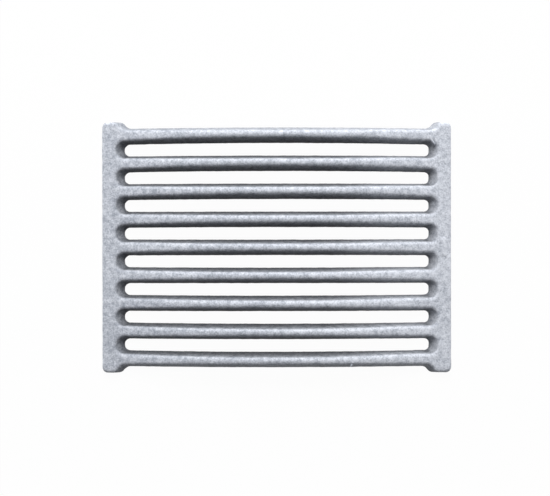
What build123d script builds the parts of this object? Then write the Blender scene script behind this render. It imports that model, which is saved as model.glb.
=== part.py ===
from build123d import *

import os
from math import asin, cos, degrees, radians, sin, tan

# Cast iron grate, cast in one piece: arched bars between two flat end rails, with an ear at each corner.
# Millimetres. X runs along the bars, Y across them and Z up, from the middle of the rails' undersides.

# Plan, at the underside, where the bars are widest
length = 280.0
bar_count = 9
bar_width = 12.9
slot_width = 9.4
slot_width_mid = 10.0
rail_width = 17.7
left_end_radius = 4.2
right_end_radius = 3.4
corner_radius = 5.0

# Ears: how far they stand out past the outer bars, the hollow at their roots and the width of each tip
ear_projection = 5.0
ear_root_radius = 6.5
front_left_ear = 16.0
front_right_ear = 17.4
back_left_ear = 16.8
back_right_ear = 14.2

# Side profile: the bars spring from the rails, arch upwards and grow deeper towards mid-length
seat_width = 19.0
rail_thickness = 8.0
arch_rise = 10.2
bar_depth = 12.8
spring_blend = 60.0

# Drafts in degrees, and the roundings of the cast edges
bar_draft_angle = 16.5
slot_end_draft_angle = 33.0
ear_draft_angle = 25.0
rail_draft_angle = 5.0
edge_rounding = 3.5
ear_tip_rounding = 4.2

# How far the cutting tools reach past the casting's faces
overcut = 3.0

# A face counts as looking along an axis from this share of its normal up
facing_share = 0.9

# The rounding may take up to this share of a crest's half width
rounded_share = 0.9

slot_length = length - 2 * rail_width
pitch = bar_width + slot_width
barred_width = bar_count * bar_width + (bar_count - 1) * slot_width
width = barred_width + 2 * ear_projection
crest_height = arch_rise + bar_depth


def arc_radius(half_span, rise):
    """The radius of an arc from its half span and its rise."""
    return (half_span**2 + rise**2) / (2 * rise)


# The slot walls follow a flatter arc than the bars' underside, so that their draft opens the slots mid-length
arch_half_span = length / 2 - seat_width
slot_arc_rise = arch_rise - (slot_width_mid - slot_width) / (2 * tan(radians(bar_draft_angle)))
slot_arc_radius = arc_radius(arch_half_span, slot_arc_rise)
slot_arc_centre_z = slot_arc_rise - slot_arc_radius

# The rounding along a crest leaves a narrow flat, also where the crest is narrowest
crest_width = bar_width + slot_width - slot_width_mid - 2 * bar_depth * tan(radians(bar_draft_angle))
crest_turn = radians(90 - bar_draft_angle)
crest_rounding = min(edge_rounding, rounded_share * crest_width / 2 / tan(crest_turn / 2))


def side_profile():
    """The casting seen along Y: flat rails, and two arcs for the underside and the crest of the bars."""
    rail_end = length / 2 + overcut
    crest_end = slot_length / 2
    with BuildSketch(Plane.XZ) as sketch:
        with BuildLine():
            Line((-rail_end, 0), (-arch_half_span, 0))
            ThreePointArc((-arch_half_span, 0), (0, arch_rise), (arch_half_span, 0))
            Line((arch_half_span, 0), (rail_end, 0))
            Line((rail_end, 0), (rail_end, rail_thickness))
            Line((rail_end, rail_thickness), (crest_end, rail_thickness))
            ThreePointArc((crest_end, rail_thickness), (0, crest_height), (-crest_end, rail_thickness))
            Line((-crest_end, rail_thickness), (-rail_end, rail_thickness))
            Line((-rail_end, rail_thickness), (-rail_end, 0))
        make_face()
        rail_tops = sketch.vertices().group_by(Axis.Y)[-1]
        springings = rail_tops.sort_by(lambda corner: abs(corner.X))[:2]
        fillet(springings, spring_blend)
    return sketch.sketch


def blank():
    """The casting before its slots are opened: the side profile, trimmed to a plan with drafted sides."""
    slab = extrude(side_profile(), amount=width / 2 + overcut, both=True)
    plan = RectangleRounded(length, width, corner_radius)
    return slab & extrude(plan, amount=crest_height + overcut, taper=rail_draft_angle)


def arc_plane(side, reach):
    """A plane tangent to the slots' arc, that far from mid-length, its x towards the rail on that side."""
    angle = side * asin(reach / slot_arc_radius)
    foot = (slot_arc_radius * sin(angle), 0, slot_arc_centre_z + slot_arc_radius * cos(angle))
    return Plane(foot, x_dir=(side * cos(angle), 0, -side * sin(angle)), z_dir=(sin(angle), 0, cos(angle)))


def slot_space(width_at_arc, end_draft_angle, left_reach, right_reach, left_radius, right_radius):
    """The space between two bars: a wedge swept along the arc, with a sloped round end towards each rail."""
    heights = (-overcut, bar_depth + overcut)
    half_widths = [width_at_arc / 2 + height * tan(radians(bar_draft_angle)) for height in heights]

    def round_end(plane, radius):
        outlines = []
        for height, half_width in zip(heights, half_widths):
            tip = radius + overcut + height * tan(radians(end_draft_angle))
            corner = radius + height * tan(radians(bar_draft_angle))
            with BuildSketch(plane.offset(height)) as outline:
                Rectangle(tip, 2 * half_width, align=(Align.MIN, Align.CENTER))
                fillet(outline.vertices().group_by(Axis.X)[-1], corner)
            outlines.append(outline.sketch)
        return loft(outlines, ruled=True)

    left = arc_plane(-1, left_reach - left_radius - overcut)
    right = arc_plane(1, right_reach - right_radius - overcut)
    section = Plane(left.origin, x_dir=(0, 1, 0), z_dir=-left.x_dir) * Polygon(
        (-half_widths[0], heights[0]),
        (half_widths[0], heights[0]),
        (half_widths[1], heights[1]),
        (-half_widths[1], heights[1]),
        align=None,
    )
    sweep = degrees(asin(right.origin.X / slot_arc_radius) - asin(left.origin.X / slot_arc_radius))
    wedge = revolve(section, Axis((0, 0, slot_arc_centre_z), (0, 1, 0)), revolution_arc=sweep)
    return wedge + round_end(left, left_radius) + round_end(right, right_radius)


def slots():
    """The slots between neighbouring bars."""
    reaches = (slot_length / 2, slot_length / 2)
    slot = slot_space(slot_width, slot_end_draft_angle, *reaches, left_end_radius, right_end_radius)
    middle = (bar_count - 2) / 2
    return [Pos(0, (gap - middle) * pitch, 0) * slot for gap in range(bar_count - 1)]


def ear_hollow(side, left_ear, right_ear):
    """The space outside an outer bar, whose round ends leave an ear standing at each corner."""
    hollow_width = 2 * (ear_root_radius + overcut)
    reaches = (length / 2 - left_ear, length / 2 - right_ear)
    hollow = slot_space(hollow_width, ear_draft_angle, *reaches, ear_root_radius, ear_root_radius)
    return Pos(0, side * (barred_width + hollow_width) / 2, 0) * hollow


def ear_tip_edges(casting):
    """The upright edge of each ear's end that lies nearest to mid-length, where the hollow begins."""
    side_faces = [face for face in casting.faces() if abs(face.normal_at().Y) > facing_share]
    ear_ends = [face for face in side_faces if abs(face.center().X) > slot_length / 2]
    tips = []
    for face in ear_ends:
        upright = [edge for edge in face.edges() if edge.bounding_box().size.Z > rail_thickness / 2]
        tips.append(min(upright, key=lambda edge: abs(edge.center().X)))
    return tips


def top_edges(casting):
    """The edges round the top of the casting and round the mouths of the slots."""
    top_faces = [face for face in casting.faces() if face.normal_at().Z > facing_share]
    edges = ShapeList(edge for face in top_faces for edge in face.edges())
    return [edge for edge in edges if edges.count(edge) == 1]


def grate():
    """The finished casting. Its underside edges lie at the parting of the mould and stay sharp."""
    front_hollow = ear_hollow(-1, front_left_ear, front_right_ear)
    back_hollow = ear_hollow(1, back_left_ear, back_right_ear)
    casting = blank() - slots() - front_hollow - back_hollow
    casting = fillet(ear_tip_edges(casting), ear_tip_rounding)
    return fillet(top_edges(casting), crest_rounding)


os.makedirs("parts", exist_ok=True)
export_step(grate(), "parts/grate.step")
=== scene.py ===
from math import radians

import bpy
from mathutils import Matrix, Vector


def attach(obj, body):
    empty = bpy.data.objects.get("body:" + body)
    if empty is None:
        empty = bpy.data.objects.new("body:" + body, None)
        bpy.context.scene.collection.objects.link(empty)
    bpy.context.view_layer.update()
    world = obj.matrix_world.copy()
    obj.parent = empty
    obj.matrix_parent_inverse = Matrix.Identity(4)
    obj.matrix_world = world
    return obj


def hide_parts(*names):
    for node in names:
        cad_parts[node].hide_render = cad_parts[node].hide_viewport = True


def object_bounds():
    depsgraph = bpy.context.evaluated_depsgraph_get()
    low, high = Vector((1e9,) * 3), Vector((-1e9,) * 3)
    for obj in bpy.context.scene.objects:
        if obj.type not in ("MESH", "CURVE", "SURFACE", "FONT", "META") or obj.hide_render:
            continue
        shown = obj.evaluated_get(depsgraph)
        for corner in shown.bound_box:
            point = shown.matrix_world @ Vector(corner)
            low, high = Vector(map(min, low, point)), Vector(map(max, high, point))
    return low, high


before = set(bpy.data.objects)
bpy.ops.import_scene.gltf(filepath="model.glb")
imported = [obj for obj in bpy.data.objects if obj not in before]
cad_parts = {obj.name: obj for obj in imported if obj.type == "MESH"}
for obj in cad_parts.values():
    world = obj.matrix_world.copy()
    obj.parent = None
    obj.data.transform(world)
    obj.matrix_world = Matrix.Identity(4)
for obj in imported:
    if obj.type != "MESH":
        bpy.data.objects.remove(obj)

cad_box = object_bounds()

# The grate: nine bars, two rails and four ears of grey iron, poured in one go in a sand mould and then
# shot blasted. The sand leaves a low waviness and a fine grain on every face, so the shape is taken from
# the CAD solid, meshed evenly and roughened. The underside of the rails stays flat where the grate sits.
weld_distance = 0.000001
mesh_depth = 8
mesh_fill = 0.9
shortest_edge = 0.0002
needle_width = shortest_edge / 10
seat_band = 0.0004
crease_angle = radians(50)
casting = bpy.data.objects.new("grate_casting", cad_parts["grate"].data.copy())
bpy.context.scene.collection.objects.link(casting)
bpy.ops.object.select_all(action="DESELECT")
casting.select_set(True)
bpy.context.view_layer.objects.active = casting
bpy.ops.object.mode_set(mode="EDIT")
bpy.ops.mesh.select_all(action="SELECT")
bpy.ops.mesh.remove_doubles(threshold=weld_distance)
bpy.ops.object.mode_set(mode="OBJECT")
even_mesh = casting.modifiers.new("even_mesh", "REMESH")
even_mesh.mode = "SHARP"
even_mesh.octree_depth = mesh_depth
even_mesh.scale = mesh_fill
even_mesh.use_remove_disconnected = False
bpy.ops.object.modifier_apply(modifier="even_mesh")
bpy.ops.object.mode_set(mode="EDIT")
bpy.ops.mesh.select_all(action="SELECT")
bpy.ops.mesh.remove_doubles(threshold=shortest_edge)
bpy.ops.mesh.dissolve_degenerate(threshold=needle_width)
bpy.ops.mesh.select_mode(type="VERT")
bpy.ops.mesh.select_all(action="DESELECT")
bpy.ops.object.mode_set(mode="OBJECT")


def roughen(piece, name, grain_size, height):
    """Pushes a piece's surface in and out by a cloudy pattern of the given grain size and full height."""
    cloud = bpy.data.textures.new(name, "CLOUDS")
    cloud.noise_scale = grain_size
    cloud.noise_depth = 1
    relief = piece.modifiers.new(name, "DISPLACE")
    relief.texture = cloud
    relief.texture_coords = "LOCAL"
    relief.strength = height
    relief.mid_level = 0.5
    bpy.ops.object.modifier_apply(modifier=name)


roughen(casting, "mould_waves", grain_size=0.009, height=0.00028)
roughen(casting, "sand_grain", grain_size=0.0026, height=0.0003)

for vertex in casting.data.vertices:
    vertex.select = vertex.co.z < seat_band
bpy.ops.object.mode_set(mode="EDIT")
bpy.ops.transform.resize(value=(1, 1, 0), center_override=(0, 0, 0))
bpy.ops.object.mode_set(mode="OBJECT")
bpy.ops.object.shade_smooth_by_angle(angle=crease_angle)


class Shade:
    """An output of a material's nodes. An operator between outputs and numbers adds a Math node."""

    def __init__(self, tree, socket=None):
        self.tree = tree
        self.socket = socket

    def node(self, kind, inputs, output=0, **settings):
        """Adds a node: its settings first, then the value or the link of each input socket."""
        made = self.tree.nodes.new(kind)
        for name, value in settings.items():
            setattr(made, name, value)
        for name, value in inputs.items():
            if isinstance(value, Shade):
                self.tree.links.new(value.socket, made.inputs[name])
            else:
                made.inputs[name].default_value = value
        return Shade(self.tree, made.outputs[output] if len(made.outputs) else None)

    def maths(self, operation, first, second=0.0):
        return self.node("ShaderNodeMath", {0: first, 1: second}, operation=operation)

    def __add__(self, other):
        return self.maths("ADD", self, other)

    def __radd__(self, other):
        return self.maths("ADD", other, self)

    def __sub__(self, other):
        return self.maths("SUBTRACT", self, other)

    def __rsub__(self, other):
        return self.maths("SUBTRACT", other, self)

    def __mul__(self, other):
        return self.maths("MULTIPLY", self, other)

    def __rmul__(self, other):
        return self.maths("MULTIPLY", other, self)

    def __abs__(self):
        return self.maths("ABSOLUTE", self)

    def part(self, axis):
        """One coordinate of a place or a direction."""
        return self.node("ShaderNodeSeparateXYZ", {0: self}, output=axis)

    def band(self, low, high):
        """A smooth step from 0 at low to 1 at high."""
        limits = {"Value": self, "From Min": low, "From Max": high}
        return self.node("ShaderNodeMapRange", limits, interpolation_type="SMOOTHSTEP")

    def noise(self, place, grain_size, detail, roughness):
        """Noise from 0 to 1 at a place given in millimetres."""
        inputs = {"Vector": place, "Scale": 1 / grain_size, "Detail": detail, "Roughness": roughness}
        return self.node("ShaderNodeTexNoise", inputs, output="Fac")

    def blend(self, factor, first, second):
        """A colour between two colours."""
        return self.node("ShaderNodeMix", {0: factor, 6: first, 7: second}, output=2, data_type="RGBA")


# Darkest and lightest colour of the clean iron and of the painted slot shade, and how strongly they vary
clean_colours = ((0.34, 0.37, 0.43, 1), (0.79, 0.82, 0.89, 1))
painted_shade_colours = ((0.05, 0.053, 0.06, 1), (0.146, 0.153, 0.168, 1))
tone_limits = (-0.1, 1.1)
grain_contrast = 1.3
mottle_contrast = 1.5
patch_contrast = 0.4
# Painted light: from 70 mm left of the middle the iron is painted lighter towards the right
painted_light_from = -70.0
painted_light_per_mm = 0.0005

# Where shade is painted, in millimetres from the middle of the grate: on the walls below the crests of the
# bars, not on the rails or on what looks down, and less on the outer sides and in the right part of the
# slots
rail_edge = (128.0, 134.0)
outer_side = (89.5, 91.5)
outer_loss = 0.5
arch_rise = 10.2
arch_fall = 0.0007
lit_height = 9.0
light_reach_per_mm = 0.05
right_stretch = (35.0, 95.0)
right_extra_light = 0.3
slot_end = (112.0, 122.0)
slot_end_loss = 0.6
light_reach_limits = (-0.1, 1.03)
down_limits = (-0.8, -0.3)


def blasted_iron(name, painted_shade_share):
    """Shot blasted grey iron: a bluish silver with a mottled sand grain. The deeper a wall lies in a slot,
    the more shade is painted into its colour, and the iron is painted lighter towards the right."""
    material = bpy.data.materials.new(name)
    material.use_nodes = True
    tree = material.node_tree
    tree.nodes.clear()
    shade = Shade(tree)
    metres = shade.node("ShaderNodeTexCoord", {}, output="Object")
    normal = shade.node("ShaderNodeTexCoord", {}, output="Normal")
    place = shade.node("ShaderNodeVectorMath", {0: metres, "Scale": 1000.0}, operation="SCALE")
    lengthwise = place.part("X")
    along = abs(lengthwise)
    across = abs(place.part("Y"))
    level = place.part("Z")
    upward = normal.part("Z")

    grain = shade.noise(place, grain_size=1.3, detail=2.0, roughness=0.6)
    mottle = shade.noise(place, grain_size=4.0, detail=3.0, roughness=0.6)
    patch = shade.noise(place, grain_size=40.0, detail=2.0, roughness=0.5)
    tone = 0.5 + mottle_contrast * (mottle - 0.5) + grain_contrast * (grain - 0.5)
    # The last term is painted light, lighter towards the right
    tone = tone + patch_contrast * (patch - 0.5) + painted_light_per_mm * (lengthwise - painted_light_from)
    clean = shade.blend(tone.band(*tone_limits), *clean_colours)
    shaded_colour = shade.blend(tone.band(*tone_limits), *painted_shade_colours)

    # Painted shade: walls deep in the slots get the dark colour, less of it in the right part of the slots
    within = (1 - along.band(*rail_edge)) * (1 - outer_loss * across.band(*outer_side))
    underside = shade.maths("MAXIMUM", arch_rise - arch_fall * along * along, 0.0)
    right_lighter = right_extra_light * lengthwise.band(*right_stretch) * (1 - slot_end_loss * lengthwise.band(*slot_end))
    light_reach = upward + light_reach_per_mm * (level - underside - lit_height) + right_lighter
    painted_shade = painted_shade_share * within * (1 - light_reach.band(*light_reach_limits)) * upward.band(*down_limits)

    height = 0.6 * grain + 0.4 * mottle
    surface = shade.node(
        "ShaderNodeBsdfPrincipled",
        {
            "Base Color": shade.blend(painted_shade, clean, shaded_colour),
            "Roughness": 0.62 + 0.16 * mottle,
            "Specular IOR Level": 0.1,
            "Normal": shade.node("ShaderNodeBump", {"Strength": 0.85, "Distance": 0.0004, "Height": height}),
        },
    )
    shade.node("ShaderNodeOutputMaterial", {"Surface": surface})
    return material


iron = blasted_iron("blasted_iron", painted_shade_share=1.0)
casting.data.materials.clear()
casting.data.materials.append(iron)
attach(casting, "root")
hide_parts("grate")

# Marks of the mould: a sliver of flash at the corner of a slot, a thin vein at the side of the front bar and
# a low plain pad on the right rail. They are cast on, so each is a small raised skin that follows the iron
# under it. The sliver and the vein take the iron without the painted slot shade, and stand out level where
# the iron falls away.
root_depth = 0.0002
core_depth = 0.0012


def cast_mark(name, metal, middle, size, turn, height, steps, fullness, lowest=0.0):
    """A raised mark laid over the casting, but nowhere below its lowest level. The fuller it is, the more
    sharply its sides run out into the iron."""
    well_above = 2 * cad_box[1][2]
    bpy.ops.object.select_all(action="DESELECT")
    bpy.ops.mesh.primitive_grid_add(x_subdivisions=steps[0], y_subdivisions=steps[1], size=1)
    mark = bpy.context.object
    mark.name = name
    lifts = []
    for vertex in mark.data.vertices:
        along, across = 2 * vertex.co.x, 2 * vertex.co.y
        lifts.append(height * (1 - abs(along) ** fullness) * (1 - abs(across) ** fullness) - root_depth)
    mark.scale = (*size, 1)
    mark.rotation_euler = (0, 0, turn)
    mark.location = (*middle, well_above)
    bpy.ops.object.transform_apply(location=True, rotation=True, scale=True)
    lay = mark.modifiers.new("lay", "SHRINKWRAP")
    lay.target = casting
    lay.wrap_method = "PROJECT"
    lay.use_project_z = True
    lay.use_negative_direction = True
    lay.use_positive_direction = False
    bpy.ops.object.modifier_apply(modifier="lay")
    for vertex, lift in zip(mark.data.vertices, lifts):
        vertex.co.z = max(vertex.co.z, lowest) + lift
    core = mark.modifiers.new("core", "SOLIDIFY")
    core.thickness = core_depth
    core.offset = -1
    bpy.ops.object.modifier_apply(modifier="core")
    bpy.ops.object.shade_smooth()
    mark.data.materials.append(metal)
    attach(mark, "root")


unshaded_iron = blasted_iron("unshaded_iron", painted_shade_share=0.0)
cast_mark(
    "flash_sliver",
    unshaded_iron,
    middle=(0.1247, 0.0844),
    size=(0.0060, 0.0017),
    turn=radians(-53),
    height=0.0010,
    steps=(16, 8),
    fullness=2,
    lowest=0.0076,
)
cast_mark(
    "mould_vein",
    unshaded_iron,
    middle=(0.0592, -0.0917),
    size=(0.0052, 0.0015),
    turn=radians(68),
    height=0.0007,
    steps=(16, 8),
    fullness=2,
    lowest=0.0187,
)
cast_mark(
    "blank_pad",
    iron,
    middle=(0.1330, 0.0001),
    size=(0.0064, 0.0172),
    turn=0,
    height=0.0007,
    steps=(24, 48),
    fullness=6,
)

# The floor: a plain matt white sheet that the grate stands on. To the camera and in reflections it is white
# and keeps a faint shadow, and it throws little light back at the casting.
floor_size = 8.0
floor_gap = 0.00005
floor_glow = 0.97
bpy.ops.object.select_all(action="DESELECT")
bpy.ops.mesh.primitive_plane_add(size=floor_size, location=(0, 0, -floor_gap))
floor = bpy.context.object
floor.name = "floor"
paper = bpy.data.materials.new("white_paper")
paper.use_nodes = True
paper.node_tree.nodes.clear()
shade = Shade(paper.node_tree)


def seen(shade):
    """1 for camera, glossy and transmission rays, 0 for the light that spreads."""
    camera_ray = shade.node("ShaderNodeLightPath", {}, output="Is Camera Ray")
    glossy_ray = shade.node("ShaderNodeLightPath", {}, output="Is Glossy Ray")
    through_ray = shade.node("ShaderNodeLightPath", {}, output="Is Transmission Ray")
    return shade.maths("MAXIMUM", shade.maths("MAXIMUM", camera_ray, glossy_ray), through_ray)


dull = shade.node("ShaderNodeBsdfDiffuse", {"Color": (0.4, 0.4, 0.4, 1)})
white = shade.node("ShaderNodeBsdfDiffuse", {"Color": (0.9, 0.9, 0.9, 1)})
glow = shade.node("ShaderNodeEmission", {"Color": (1, 1, 1, 1), "Strength": 1.0})
lit_white = shade.node("ShaderNodeMixShader", {0: floor_glow, 1: white, 2: glow})
sheet = shade.node("ShaderNodeMixShader", {0: seen(shade), 1: dull, 2: lit_white})
shade.node("ShaderNodeOutputMaterial", {"Surface": sheet})
floor.data.materials.append(paper)

# The studio: a white surround that gives little light, one large soft lamp that stands behind the grate, a
# little to the left, and looks down on it, and a small low lamp at each back corner, for the rails' ends and
# the outer sides of the grate.
surround = bpy.data.worlds.new("surround")
bpy.context.scene.world = surround
surround.use_nodes = True
surround.node_tree.nodes.clear()
shade = Shade(surround.node_tree)
dim_light = shade.node("ShaderNodeBackground", {"Color": (1, 1, 1, 1), "Strength": 0.2})
white_view = shade.node("ShaderNodeBackground", {"Color": (1, 1, 1, 1), "Strength": 1.0})
around = shade.node("ShaderNodeMixShader", {0: seen(shade), 1: dim_light, 2: white_view})
shade.node("ShaderNodeOutputWorld", {"Surface": around})


def soft_lamp(name, place, size, power):
    """A square lamp aimed at the middle of the grate."""
    bpy.ops.object.light_add(type="AREA", location=place)
    lamp = bpy.context.object
    lamp.name = name
    lamp.data.shape = "SQUARE"
    lamp.data.size = size
    lamp.data.energy = power
    lamp.rotation_euler = lamp.location.to_track_quat("Z", "Y").to_euler()


soft_lamp("back_lamp", place=(-0.1, 1.36, 1.30), size=0.85, power=31.0)
soft_lamp("left_lamp", place=(-0.95, 0.8, 0.2), size=0.4, power=5.5)
soft_lamp("right_lamp", place=(0.95, 0.8, 0.2), size=0.4, power=6.0)

# The camera: it looks straight down on the grate, with the bars running left to right. It stands a little
# off the middle and is turned by a hair, as the picture has the grate.
camera_place = (-0.00137, -0.00052)
camera_height = 0.760
camera_turn = radians(-0.06)
picture_width = 0.4436
bpy.ops.object.camera_add(location=(*camera_place, camera_height), rotation=(0, 0, camera_turn))
camera = bpy.context.object
camera.data.sensor_width = 36.0
camera.data.lens = camera.data.sensor_width * camera_height / picture_width
camera.data.clip_end = 50.0
bpy.context.scene.camera = camera
bpy.context.scene.view_settings.view_transform = "Standard"
